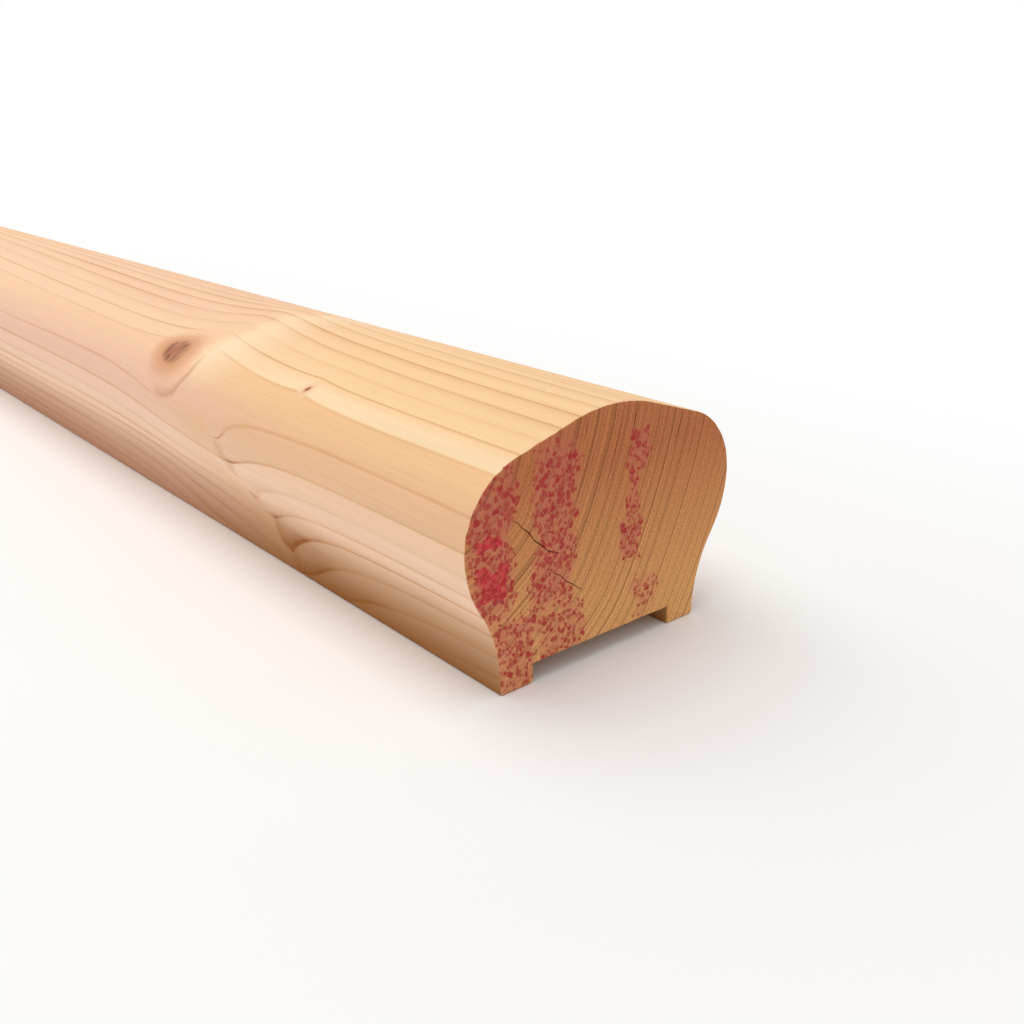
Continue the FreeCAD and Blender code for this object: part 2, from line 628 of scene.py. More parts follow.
@dataclass(frozen=True)
class PlanedPine:
    """European redwood, planed and left bare.

    It gives the eye a warm cream ground with soft brown latewood lines, fine fibres along the length,
    rosier heartwood in places, brown knots in paler turned grain and a dull sheen. Light and shade are
    painted into the colour as well: painted shade darkens the feet towards the floor, painted bounce light
    lightens the hollow of the flank, a painted tint stands for the cooler light on the front flank, and
    painted shade browns one ring more on the flank below the shoulder.
    """

    early_wood: str = "#fed2a0"
    cream_wood: str = "#ffe4bb"
    rosy_wood: str = "#f7c9a6"
    # Painted light: the tint of the cooler light on the front flank.
    cool_light_tint: str = "#f6c6b0"
    # Painted bounce light from the floor, in the hollow of the flank.
    bounce_light: str = "#ffdec2"
    # Browns the innermost rings, and as painted shade one ring more on the flank.
    inner_ring_shade: str = "#f6f0e8"
    streak_wood: str = "#f0c08e"
    # Painted shade at the feet, darkest where they meet the floor.
    foot_shade: str = "#935810"
    late_wood: str = "#d09050"
    branch_late_wood: str = "#a7622f"
    knot_wood: str = "#f6c39a"
    rim_wood: str = "#b4703f"
    halo_wood: str = "#d6976c"
    core_wood: str = "#743419"
    heart_wood: str = "#b06a48"
    roughness: float = 0.60
    sheen: float = 0.18
    line_strength: float = 0.82
    first_whorl: Point = (1150.0, 1070.0)
    # How high the painted shade at the feet reaches.
    foot_shade_height: float = 20.0
    # The height by which the painted bounce light in the hollow is placed.
    bounce_height: float = 32.0
    # Real fibres are a few hundredths of a millimetre wide, too fine to show, so they are drawn 0.6 mm wide.
    fibre: Triple = (30.0, 0.6, 0.6)

    def material(self, rings: Tree) -> bpy.types.Material:
        """Make the material.

        Args:
            rings: The growth-ring group.

        Returns:
            The planed pine.
        """
        surface = WoodSurface("Planed pine", rings)
        add = surface.add
        # Past the first whorl the wood is rosier than by the marked end, and its feet carry less painted
        # shade.
        past_whorl = add(Kind.EASED_RANGE, surface.along, *self.first_whorl)
        ground = self.ground(surface, past_whorl)
        grained = self.draw_lines(surface, past_whorl, ground)
        knotted = self.draw_knots(surface, grained)

        fibre = patches(add, surface.place_mm, self.fibre, 3.0)
        shade = add(Kind.RANGE, fibre, 0.25, 0.75, 0.955, 1.035)
        clean = add(Kind.VECTOR_MULTIPLY, knotted, shade)
        # Painted shade: the feet darken towards the floor, a little less past the first whorl.
        foot_shading = add(Kind.RAMP, add(Kind.MULTIPLY, surface.up, 1 / self.foot_shade_height), stops=(
            (0.0, 0.92), (0.15, 0.77), (0.3, 0.595), (0.44, 0.44), (0.6, 0.23), (0.8, 0.0)))
        foot_shade_fade = add(Kind.RANGE, past_whorl, 0.0, 1.0, 1.0, 0.7)
        colour = lay(add, clean, (add(Kind.MULTIPLY, foot_shading, foot_shade_fade), self.foot_shade))
        relief = add(Kind.BUMP, named={"Height": fibre, "Strength": 0.25, "Distance": 0.0001})
        return surface.finish(colour, self.roughness, self.sheen, relief)

    def ground(self, surface: WoodSurface, past_whorl: Node) -> Feed:
        """Mix the early wood's cream with the rosier heartwood, in clouds about 160 mm long and 30 mm wide.

        The wood is rosier past the first whorl. On the front flank, towards the pith, a painted rosy tint
        stands for the cooler light on that side, and the hollow of the flank is lightened with painted
        bounce light from the floor.

        Args:
            surface: The material in the making.
            past_whorl: How far past the first whorl a spot is.

        Returns:
            The ground colour.
        """
        add, up, ring = surface.add, surface.up, surface.wood["Ring"]
        cloud = patches(add, surface.place_mm, (160.0, 30.0, 30.0), 2.0)
        least = add(Kind.RANGE, surface.along, 950.0, 750.0, 0.6, 0.1)
        rosy = add(Kind.MULTIPLY, add(Kind.RANGE, cloud, 0.35, 0.65, least, 1.0), past_whorl)
        # Painted light: a rosy tint on the front flank for the cooler light that falls on that side.
        front = add(Kind.RANGE, surface.across, -5.0, -15.0)
        front = add(Kind.MULTIPLY, front, add(Kind.EASED_RANGE, up, 38.0, 31.0))
        front = add(Kind.MULTIPLY, front, add(Kind.RANGE, past_whorl, 0.0, 1.0, 0.38, 0.95))
        # Painted bounce light from the floor lightens the hollow of the flank.
        hollow = add(Kind.RAMP, add(Kind.MULTIPLY, up, 1 / self.bounce_height), stops=(
            (0.25, 0.0), (0.5, 0.75), (0.66, 0.75), (0.9, 0.0)))
        ground = lay(add, linear(self.early_wood), (rosy, self.rosy_wood), (front, self.cool_light_tint),
                     (hollow, self.bounce_light))
        # The innermost rings are browned, and below the shoulder one ring more, as painted shade on the
        # flank.
        counted = add(Kind.SUBTRACT, ring, add(Kind.RANGE, up, 35.0, 33.0))
        innermost = add(Kind.RANGE, counted, 2.95, 2.80)
        tinted = add(Kind.MULTIPLY, add(Kind.RANGE, past_whorl, 0.0, 1.0, 1.0, 0.3), innermost)
        ground = add(Kind.TINT, tinted, ground, linear(self.inner_ring_shade))
        # By the marked end, the first ring above the shoulder is the palest.
        first = add(Kind.RAMP, add(Kind.SUBTRACT, ring, 2.88), stops=(
            (0.0, 0.0), (0.1, 0.7), (0.45, 0.45), (0.9, 0.0)))
        above = add(Kind.RANGE, up, 33.0, 35.0)
        above = add(Kind.MULTIPLY, above, add(Kind.RANGE, past_whorl, 0.0, 0.6, 1.0, 0.0))
        return lay(add, ground, (add(Kind.MULTIPLY, first, above), self.cream_wood))

    def draw_lines(self, surface: WoodSurface, past_whorl: Node, ground: Feed) -> Feed:
        """Lay the latewood lines on the ground, darker where the grain turns sharply and gone inside a knot.

        Args:
            surface: The material in the making.
            past_whorl: How far past the first whorl a spot is.
            ground: The ground colour.

        Returns:
            The grained colour.
        """
        add, wood = surface.add, surface.wood
        patch = patches(add, surface.place_mm, (70.0, 9.0, 9.0), 1.0)
        fading = add(Kind.RANGE, patch, 0.3, 0.65, 0.55, 1.1)
        fading = add(Kind.MULTIPLY, fading, add(Kind.RANGE, past_whorl, 0.0, 1.0, 0.80, 0.97))
        fading = add(Kind.MULTIPLY, fading, add(Kind.RANGE, wood["Ring"], 3.0, 3.5, 0.6, 1.0))
        blotch = patches(add, surface.place_mm, (14.0, 6.0, 6.0), 1.0)
        blotch = add(Kind.RANGE, blotch, 0.35, 0.65, 0.25, 1.15)
        crease = add(Kind.RANGE, wood["Crease"], 0.3, 0.8)
        stroke = add(Kind.MULTIPLY, blotch, add(Kind.RANGE, surface.up, 28.0, 8.0, 0.3, 1.8))
        crease = add(Kind.MULTIPLY, crease, stroke, use_clamp=True)
        streak = add(Kind.RANGE, wood["Streak"], 0.35, 0.8)
        crest = add(Kind.RANGE, wood["Crest"], 0.38, 0.72)
        paler = add(Kind.MAXIMUM, streak, add(Kind.MULTIPLY, crest, 0.7))
        beside = add(Kind.MULTIPLY_ADD, crease, 0.85, fading)
        beside = add(Kind.MULTIPLY, beside, add(Kind.RANGE, paler, 0.0, 1.0, 1.0, 0.2))
        ground = lay(add, ground, (add(Kind.MULTIPLY, crest, 0.85), self.cream_wood),
                     (add(Kind.MULTIPLY, streak, 0.6), self.streak_wood))

        # The rings next to the pith have only a thin line of latewood.
        thinness = add(Kind.RANGE, wood["Ring"], 2.9, 4.5, 5.0, 1.0)
        thinness = add(Kind.MULTIPLY, thinness, add(Kind.RANGE, crease, 0.0, 1.0, 1.0, 0.6))
        strength = add(Kind.RANGE, wood["Tone"], 0.0, 1.0, self.line_strength * 0.4, self.line_strength * 1.1)
        line = add(Kind.MULTIPLY, add(Kind.POWER, wood["Latewood"], thinness), strength)
        line = add(Kind.MULTIPLY, line, beside, use_clamp=True)
        line = add(Kind.MULTIPLY, line, add(Kind.RANGE, wood["Knot"], 0.75, 1.15))
        brown = lay(add, linear(self.late_wood), (crease, self.branch_late_wood))
        grained = add(Kind.MIX, line, ground, brown)
        seam = add(Kind.RANGE, wood["Seam"], 0.1, 1.0, 0.0, 0.55)
        seam = add(Kind.MULTIPLY, seam, add(Kind.RANGE, wood["Ring"], 2.9, 3.3))
        seam = add(Kind.MULTIPLY, seam, blotch, use_clamp=True)
        return lay(add, grained, (seam, self.late_wood))

    def draw_knots(self, surface: WoodSurface, grained: Feed) -> Feed:
        """Lay the turned grain, the broken dark rim and the core of each knot.

        Args:
            surface: The material in the making.
            grained: The colour below.

        Returns:
            The colour with the knots in it.
        """
        add, wood = surface.add, surface.wood
        rough = patches(add, surface.place_mm, (8.0, 5.0, 5.0), 0.0)
        uneven = add(Kind.RANGE, rough, 0.3, 0.7, -0.07, 0.07)
        ring = add(Kind.ADD, wood["Knot"], uneven)
        core = add(Kind.ADD, wood["Core"], uneven)
        inside = add(Kind.RANGE, ring, 1.05, 0.5, 0.0, 0.6)
        rim = add(Kind.RAMP, ring, stops=((0.0, 0.0), (0.72, 0.0), (0.91, 1.0), (1.0, 0.0)))
        # The rim only shows low on the side that faces the marked end.
        arc = add(Kind.EASED_RANGE, wood["Rim"], 0.3, 0.85, 0.02, 0.45)
        halo = add(Kind.EASED_RANGE, core, 2.6, 1.0, 0.0, 0.85)
        grit = patches(add, surface.place_mm, (1.1, 4.0, 4.0), 2.0)
        dark = add(Kind.EASED_RANGE, core, 1.25, 0.7, 0.0, 0.85)
        dark = add(Kind.MULTIPLY, dark, add(Kind.RANGE, grit, 0.35, 0.65, 0.4, 1.0))
        heart = add(Kind.RANGE, core, 0.55, 0.25, 0.0, 0.7)
        return lay(add, grained, (inside, self.knot_wood), (add(Kind.MULTIPLY, rim, arc), self.rim_wood),
                   (halo, self.halo_wood), (dark, self.core_wood), (heart, self.heart_wood))


class EndMark(Enum):
    """What a sawn end carries."""

    BARE = "bare"
    PAINTED = "painted"


@dataclass(frozen=True)
class PaintPatch:
    """A patch of the end that paint was dabbed on: middle, half size and how much of it is covered.

    Sizes are millimetres across and up.
    """

    middle: Point
    half: Point
    cover: float


PAINT_PATCHES = (
    PaintPatch((-25.1, 25.5), (4.0, 12.0), 0.78),
    PaintPatch((-25.4, 26.9), (3.7, 1.6), 0.97),
    PaintPatch((-25.4, 19.8), (4.0, 3.3), 0.97),
    PaintPatch((-21.0, 6.0), (4.2, 7.0), 0.74),
    PaintPatch((-12.5, 26.0), (4.6, 14.5), 0.76),
    PaintPatch((-10.5, 7.3), (4.8, 4.0), 0.66),
    PaintPatch((-17.0, 11.0), (3.0, 2.0), 0.60),
    PaintPatch((6.3, 36.2), (1.9, 3.2), 0.64),
    PaintPatch((5.5, 28.6), (1.2, 5.2), 0.70),
    PaintPatch((5.7, 19.5), (2.1, 3.4), 0.76),
    PaintPatch((9.6, 8.5), (3.2, 4.0), 0.42),
)


@dataclass(frozen=True)
class MarkingPaint:
    """Thin crimson marking paint, dabbed on with a coarse sponge.

    It gives the eye separate dark blots of about a millimetre on a faint pink stain, and a brighter film
    where the sponge was pressed.
    """

    dab: str = "#ad2b30"
    film: str = "#d82843"
    stain: str = "#c8695c"
    blots: tuple[Point, ...] = ((1.15, 1.1), (0.7, 0.4))
    ragged_per_mm: float = 1.1
    ragged_reach: float = 1.2
    drift_per_mm: float = 0.25
    drift_reach: float = 5.0

    def over(self, surface: WoodSurface, ground: Node) -> Feed:
        """Lay the paint on a colour.

        Args:
            surface: The material in the making.
            ground: The colour below.

        Returns:
            The painted colour.
        """
        add, place_mm = surface.add, surface.place_mm
        cover = self.cover(add, place_mm)
        ragged = add(Kind.NOISE, place_mm, self.ragged_per_mm, 2.0)
        thin = add(Kind.RANGE, ragged.outputs["Fac"], 0.3, 0.7, 0.4, 0.9)
        stain_share = add(Kind.MULTIPLY, cover, thin)
        film_share = add(Kind.MULTIPLY, add(Kind.RANGE, cover, 0.82, 0.97), thin)
        sides = add(Kind.SEPARATE, self.astray(add, ragged, self.ragged_reach, place_mm)).outputs
        flat = add(Kind.COMBINE, sides[1], sides[2])
        share: Feed = 0.0
        for blot, crowd in self.blots:
            share = add(Kind.MAXIMUM, self.dab_on(add, flat, cover, blot, crowd), share)
        return lay(add, ground, (stain_share, self.stain), (film_share, self.film), (share, self.dab))

    def astray(self, add: Add, noise: Node, reach: float, place_mm: Node) -> Node:
        """Shift places on the end at random.

        Args:
            add: Adds a node to the tree.
            noise: The noise that shifts them.
            reach: How far they may go, in millimetres.
            place_mm: Place in the rail in millimetres.

        Returns:
            The shifted places.
        """
        centred = add(Kind.VECTOR_SUBTRACT, noise.outputs["Color"], (0.5, 0.5, 0.5))
        return add(Kind.VECTOR_MULTIPLY_ADD, centred, (0.0, reach, reach), place_mm)

    def dab_on(self, add: Add, flat: Node, cover: Feed, blot: float, crowd: float) -> Node:
        """Scatter blots of one size, as many as the cover allows.

        Args:
            add: Adds a node to the tree.
            flat: Place on the end in millimetres.
            cover: How much of each spot is painted.
            blot: How far apart the blots are.
            crowd: Share of the cover that blots of this size make up.

        Returns:
            How thick the blots lie.
        """
        cells = add(Kind.CELLS_2D, flat, 1 / blot).outputs
        chance = add(Kind.SEPARATE_COLOUR, cells["Color"]).outputs
        here = add(Kind.LESS_THAN, chance[0], add(Kind.MULTIPLY, cover, crowd))
        size = add(Kind.MULTIPLY_ADD, chance[1], 0.30, 0.28)
        depth = add(Kind.SUBTRACT, size, cells["Distance"])
        thick = add(Kind.RANGE, chance[2], 0.0, 1.0, 0.55, 0.95)
        laid = add(Kind.MULTIPLY, add(Kind.RANGE, depth, -0.10, 0.18), thick)
        return add(Kind.MULTIPLY, laid, here)

    def cover(self, add: Add, place_mm: Node) -> Feed:
        """Work out how much of each spot is painted.

        Args:
            add: Adds a node to the tree.
            place_mm: Place in the rail in millimetres.

        Returns:
            The cover, from none to all.
        """
        drift = add(Kind.NOISE, place_mm, self.drift_per_mm, 1.0)
        spot = self.astray(add, drift, self.drift_reach, place_mm)
        total: Feed = 0.0
        for patch in PAINT_PATCHES:
            local = add(Kind.LOCAL_PLACE, spot, (0.0, *patch.middle), (0.0, 0.0, 0.0), (1.0, *patch.half))
            sides = add(Kind.SEPARATE, add(Kind.VECTOR_ABSOLUTE, local)).outputs
            edge = add(Kind.MAXIMUM, sides[1], sides[2])
            total = add(Kind.MAXIMUM, add(Kind.RANGE, edge, 1.2, 0.75, 0.0, patch.cover), total)
        return total


@dataclass(frozen=True)
class SawnPine:
    """The same wood sawn across the grain.

    Its open pores drink in light, so it is darker and quite matt, with thin ring lines, fine pores
    and the upright scratches of the saw.
    """

    ground_wood: str = "#ecaf6f"
    red_wood: str = "#c27649"
    late_wood: str = "#6a3b1c"
    roughness: float = 0.85
    sheen: float = 0.2
    line_strength: float = 0.80
    mark: EndMark = EndMark.BARE
    hairlines_per_ring: float = 5.0
    # Real pores are hundredths of a millimetre wide, too fine to show, so they are drawn ten times as wide.
    pores_per_mm: float = 2.8
    saw_scratch: Triple = (1.0, 0.35, 7.0)

    def material(self, rings: Tree) -> bpy.types.Material:
        """Make the material.

        Args:
            rings: The growth-ring group.

        Returns:
            The sawn end grain.
        """
        surface = WoodSurface(f"Sawn pine end grain, {self.mark.value}", rings)
        add, wood = surface.add, surface.wood
        strength = add(Kind.RANGE, wood["Tone"], 0.0, 1.0, self.line_strength * 0.2, self.line_strength)
        line = add(Kind.MULTIPLY, add(Kind.POWER, wood["Latewood"], 1.8), strength)
        grained = lay(add, linear(self.ground_wood), (add(Kind.RANGE, surface.up, 2.0, 36.0), self.red_wood),
                      (line, self.late_wood))

        season = add(Kind.MULTIPLY, wood["Ring"], self.hairlines_per_ring)
        hairlines = add(Kind.NOISE_1D, season, 1.0, 3.0, 0.7).outputs["Fac"]
        pores = add(Kind.NOISE, surface.place_mm, self.pores_per_mm, 3.0, 0.7).outputs["Fac"]
        shade = add(Kind.RANGE, hairlines, 0.25, 0.75, 0.72, 1.24)
        speckle = add(Kind.RANGE, pores, 0.3, 0.7, 0.72, 1.26)
        colour = add(Kind.VECTOR_MULTIPLY, grained, add(Kind.MULTIPLY, shade, speckle))
        if self.mark is EndMark.PAINTED:
            colour = MarkingPaint().over(surface, colour)

        scratches = patches(add, surface.place_mm, self.saw_scratch, 2.0)
        height = add(Kind.ADD, scratches, pores)
        relief = add(Kind.BUMP, named={"Height": height, "Strength": 0.5, "Distance": 0.0002})
        return surface.finish(colour, self.roughness, self.sheen, relief)


@dataclass(frozen=True)
class EndCheck:
    """A drying crack or torn ring in a sawn end: its path on the end, widest mouth and depth, in millimetres.

    The wedge that cuts it starts a little clear of the end, and is nearly shut at its deep edge and its tips.
    """

    path: tuple[Point, ...]
    mouth: float
    depth: float
    clear: float = 0.4
    shut: float = 0.12
    tip: float = 0.08

    def blade(self, end: float) -> Piece:
        """Make the wedge that cuts the crack, thin at its deep edge and at both ends of the path.

        Args:
            end: The end's place along the rail.

        Returns:
            The wedge.
        """
        first = self.path[0]
        wedge = start_point((end + self.clear, *first))
        for here, there in zip(self.path, self.path[1:]):
            extrude((0.0, (there[0] - here[0]) * MM, (there[1] - here[1]) * MM))
        bpy.ops.mesh.select_all(action="SELECT")
        extrude((-(self.depth + self.clear) * MM, 0.0, 0.0))
        bpy.ops.object.mode_set(mode="OBJECT")

        opening = wedge.vertex_groups.new(name="opening")
        whole = (Vector(self.path[-1]) - Vector(first)).length
        for vertex in wedge.data.vertices:
            if vertex.co.x > end * MM:
                run = (vertex.co.yz / MM - Vector(first)).length / whole
                opening.add([vertex.index], sin(pi * (self.tip + (1 - 2 * self.tip) * run)), "REPLACE")
        thickness = wedge.modifiers.new("Opening", "SOLIDIFY")
        thickness.thickness = self.mouth * MM
        thickness.offset = 0.0
        thickness.vertex_group = opening.name
        thickness.thickness_vertex_group = self.shut
        bpy.ops.object.modifier_apply(modifier=thickness.name)
        bpy.ops.object.mode_set(mode="EDIT")
        face_outwards()
        return wedge

    def cut(self, rail: Piece, end: float) -> None:
        """Cut the crack into the rail.

        Args:
            rail: The rail's object.
            end: The end's place along the rail.
        """
        wedge = self.blade(end)
        activate(rail)
        crack = rail.modifiers.new("Crack", "BOOLEAN")
        crack.operation = "DIFFERENCE"
        crack.solver = "EXACT"
        crack.object = wedge
        bpy.ops.object.modifier_apply(modifier=crack.name)
        bpy.data.objects.remove(wedge, do_unlink=True)


# Two drying cracks run out from the pith. The others are latewood lines that the saw tore at the top edge.
MARKED_END_CHECKS = (
    EndCheck(((-21.6, 29.7), (-20.6, 29.3), (-19.6, 28.2), (-18.0, 26.8), (-16.9, 25.3), (-15.6, 24.3),
              (-13.8, 22.7), (-11.6, 21.8)), 0.28, 1.2),
    EndCheck(((-13.7, 19.8), (-12.3, 18.4), (-11.0, 17.7), (-9.6, 16.2), (-8.3, 15.4), (-5.6, 13.4)),
             0.22, 1.0),
    EndCheck(((2.3, 44.7), (1.6, 41.0), (0.8, 37.6), (-0.3, 34.2), (-1.6, 30.2)), 0.40, 0.5),
    EndCheck(((5.1, 44.3), (4.9, 42.0), (4.5, 39.2)), 0.28, 0.7),
    EndCheck(((-6.1, 44.0), (-6.3, 41.8), (-6.7, 39.8)), 0.26, 0.7),
    EndCheck(((16.9, 40.6), (16.2, 38.0), (15.0, 34.3)), 0.30, 0.7),
    EndCheck(((20.9, 39.6), (20.0, 35.6), (19.0, 32.0)), 0.24, 0.6),
)


@dataclass
class Handrail:
    """The rail itself: one moulded length of pine with a groove along its underside.

    Sizes are millimetres, and the same as those of the solid that it stands for.
    """

    length: float = 2400.0
    height: float = 44.5
    groove_width: float = 33.0
    groove_depth: float = 3.5
    foot_width: float = 7.0
    foot_land: float = 1.5
    foot_arris: float = 0.5
    crown_radius: float = 32.0
    roof_pitch: float = 17.0
    shoulder_radius: float = 14.0
    shoulder_overhang: float = 7.25
    haunch_share: float = 0.42
    facet: float = 0.6
    groove_arris: float = 0.25
    length_steps: int = 24
    end_insets: tuple[Point, ...] = ((0.08, 0.18), (0.16, 0.12))
    chip_size: float = 1.8
    ragged: float = 0.9
    surface_slack: float = 0.08
    crisp_edge: float = 32.0

    def __post_init__(self) -> None:
        """Work out the tangent points of the section."""
        pitch = radians(self.roof_pitch)
        self.half_base = self.groove_width / 2 + self.foot_width
        self.half_width = self.half_base + self.shoulder_overhang
        self.crown_up = self.height - self.crown_radius
        self.shoulder_across = self.half_width - self.shoulder_radius
        drop = self.crown_radius - self.shoulder_radius - self.shoulder_across * sin(pitch)
        self.shoulder_up = self.crown_up + drop / cos(pitch)
        tuck = self.shoulder_up - self.foot_land
        self.lean = 2 * atan(self.shoulder_overhang / tuck)
        self.haunch_radius = self.haunch_share * tuck / sin(self.lean)
        self.waist_radius = tuck / sin(self.lean) - self.haunch_radius
        self.start = sum(rise for _, rise in self.end_insets) - self.length / 2

    def trace(self, rail: Piece) -> None:
        """Keep the half outline, from crown to groove, with the distance round it of each of its points.

        Args:
            rail: The object with the half outline in it.
        """
        spots = [Vector((vertex.co.y / MM, vertex.co.z / MM)) for vertex in rail.data.vertices]
        beside: list[list[int]] = [[] for _ in spots]
        for edge in rail.data.edges:
            first, second = edge.vertices
            beside[first].append(second)
            beside[second].append(first)
        walk = [max(range(len(spots)), key=lambda index: spots[index].y)]
        while len(walk) < len(spots):
            walk.append(next(index for index in beside[walk[-1]] if index not in walk))
        self.outline = [spots[index] for index in walk]
        self.girths = [0.0]
        for here, there in zip(self.outline, self.outline[1:]):
            self.girths.append(self.girths[-1] + (there - here).length)

    def surface_at(self, girth: float) -> Triple:
        """Find a spot of the moulded surface by its distance round the section from the crown.

        Args:
            girth: The distance, positive on the front side.

        Returns:
            Distance across, height, and the angle in radians that turns the upward axis to face outwards.
        """
        step = max(place for place, reach in enumerate(self.girths[:-1]) if reach <= abs(girth))
        here, there = self.outline[step], self.outline[step + 1]
        spot = here.lerp(there, (abs(girth) - self.girths[step]) / (there - here).length)
        turn = atan2(here.y - there.y, there.x - here.x)
        side = 1 if girth > 0 else -1
        return -side * spot.x, spot.y, side * turn

    def girth_of(self, across: float, up: float) -> Point:
        """Find how far round the half section a spot is, and how far off the outline it lies.

        Args:
            across: The spot's distance from the middle, on either side.
            up: Its height.

        Returns:
            The girth and the distance from the outline.
        """
        spot = Vector((abs(across), up))
        best = (0.0, self.height)
        for step, here in enumerate(self.outline[:-1]):
            way = self.outline[step + 1] - here
            share = min(max((spot - here).dot(way) / way.length_squared, 0.0), 1.0)
            gap = (here + share * way - spot).length
            if gap < best[1]:
                best = (self.girths[step] + share * way.length, gap)
        return best

    def sweep(self, across: float, up: float, radius: float, turn: float) -> None:
        """Carry the selected vertex round an arc of the section.

        Args:
            across: The arc centre's distance from the middle.
            up: The arc centre's height.
            radius: The arc's radius.
            turn: Angle in radians, positive from the top towards the outside.
        """
        steps = max(3, round(radius * abs(turn) / self.facet))
        centre = (self.start * MM, across * MM, up * MM)
        bpy.ops.mesh.spin(steps=steps, angle=turn, center=centre, axis=(1, 0, 0))

    def draw_to(self, across: float, up: float, steps: int) -> None:
        """Extrude the selected vertex by a move across and up, in equal steps."""
        for _ in range(steps):
            extrude((0.0, across / steps * MM, up / steps * MM))

    def draw_half_section(self) -> Piece:
        """Draw half of the section, from the top of the crown down to the middle of the groove.

        Returns:
            The object with the open outline in it.
        """
        rail = start_point((self.start, 0.0, self.height))
        rail.name = rail.data.name = "handrail_wood"
        pitch = radians(self.roof_pitch)
        self.sweep(0.0, self.crown_up, self.crown_radius, pitch)
        run = self.shoulder_across - (self.crown_radius - self.shoulder_radius) * sin(pitch)
        fall = self.shoulder_up - self.crown_up - (self.crown_radius - self.shoulder_radius) * cos(pitch)
        self.draw_to(run, fall, 20)
        self.sweep(self.shoulder_across, self.shoulder_up, self.shoulder_radius, pi / 2 - pitch)
        self.sweep(self.half_width - self.haunch_radius, self.shoulder_up, self.haunch_radius, self.lean)
        self.sweep(self.half_base + self.waist_radius, self.foot_land, self.waist_radius, -self.lean)
        self.draw_to(0.0, self.foot_arris - self.foot_land, 2)
        self.sweep(self.half_base - self.foot_arris, self.foot_arris, self.foot_arris, pi / 2)
        self.draw_to(self.foot_arris + self.groove_arris - self.foot_width, 0.0, 8)
        self.sweep(self.groove_width / 2 + self.groove_arris, self.groove_arris, self.groove_arris, pi / 2)
        self.draw_to(0.0, self.groove_depth - self.groove_arris, 4)
        self.draw_to(-self.groove_width / 2, 0.0, 16)
        bpy.ops.object.mode_set(mode="OBJECT")
        return rail

    def run_length(self, rail: Piece) -> None:
        """Mirror the half outline, fill it and run it along the length.

        Args:
            rail: The object with the half outline.
        """
        same_spot = 1e-6
        mirror = rail.modifiers.new("Other half", "MIRROR")
        mirror.use_axis = (False, True, False)
        mirror.merge_threshold = same_spot
        bpy.ops.object.modifier_apply(modifier=mirror.name)
        bpy.ops.object.mode_set(mode="EDIT")
        bpy.ops.mesh.select_all(action="SELECT")
        bpy.ops.mesh.remove_doubles(threshold=same_spot)
        bpy.ops.mesh.edge_face_add()
        for _ in range(self.length_steps):
            extrude((-2 * self.start * MM / self.length_steps, 0.0, 0.0))
        face_outwards()

    def ease_ends(self, rail: Piece) -> None:
        """Bring each end out to its full length in two small steps, so that its edge is eased.

        Args:
            rail: The rail's object.
        """
        for side in (-1, 1):
            pick_faces(rail, lambda face: face.normal.x * side > END_FACING)
            for width, rise in self.end_insets:
                bpy.ops.mesh.inset(thickness=width * MM, depth=rise * MM)
            bpy.ops.mesh.select_all(action="DESELECT")
            bpy.ops.object.mode_set(mode="OBJECT")

    def chip_edges(self, rail: Piece) -> None:
        """Wear the eased edge of each end unevenly, as a saw leaves it, in chips of a few millimetres.

        Args:
            rail: The rail's object.
        """
        grit = bpy.data.textures.new("Saw chips", "CLOUDS")
        grit.noise_scale = self.chip_size * MM
        grit.noise_depth = 2
        same_place = 0.01
        # The outer edge is worn fully, and the step inside it by half.
        wear = ((-self.start, 1.0), (self.length / 2 - self.end_insets[1][1], 0.5))
        for side in (-1, 1):
            edge = rail.vertex_groups.new(name=f"sawn edge {side}")
            for vertex in rail.data.vertices:
                for place, share in wear:
                    if abs(vertex.co.x * side / MM - place) < same_place:
                        edge.add([vertex.index], share, "REPLACE")
            chips = rail.modifiers.new("Chips", "DISPLACE")
            chips.texture = grit
            chips.texture_coords = "LOCAL"
            chips.direction = "X"
            chips.mid_level = 0.35
            chips.strength = -side * self.ragged * MM
            chips.vertex_group = edge.name
            bpy.ops.object.modifier_apply(modifier=chips.name)
        rail.vertex_groups.clear()

    def dress(self, rail: Piece, rings: Tree) -> None:
        """Give the sides and the two ends their finishes.

        Args:
            rail: The rail's object.
            rings: The growth-ring group.
        """
        rail.data.materials.clear()
        for finish in (PlanedPine(), SawnPine(mark=EndMark.PAINTED), SawnPine(mark=EndMark.BARE)):
            rail.data.materials.append(finish.material(rings))
        for face in rail.data.polygons:
            middle = face.center / MM
            off_surface = self.girth_of(middle.y, middle.z)[1]
            if abs(face.normal.x) < END_FACING and off_surface < self.surface_slack:
                face.material_index = 0
            else:
                face.material_index = 1 if middle.x > 0 else 2
        bpy.ops.object.shade_smooth_by_angle(angle=radians(self.crisp_edge))

    def build(self) -> Piece:
        """Model the rail and dress it.

        Returns:
            The finished piece.
        """
        rail = self.draw_half_section()
        self.trace(rail)
        self.run_length(rail)
        self.ease_ends(rail)
        self.chip_edges(rail)
        for check in MARKED_END_CHECKS:
            check.cut(rail, self.length / 2)
        self.dress(rail, GrowthRings().build(self))
        BakeSheet().lay_out(rail, self)
        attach(rail, "root")
        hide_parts("handrail")
        return rail


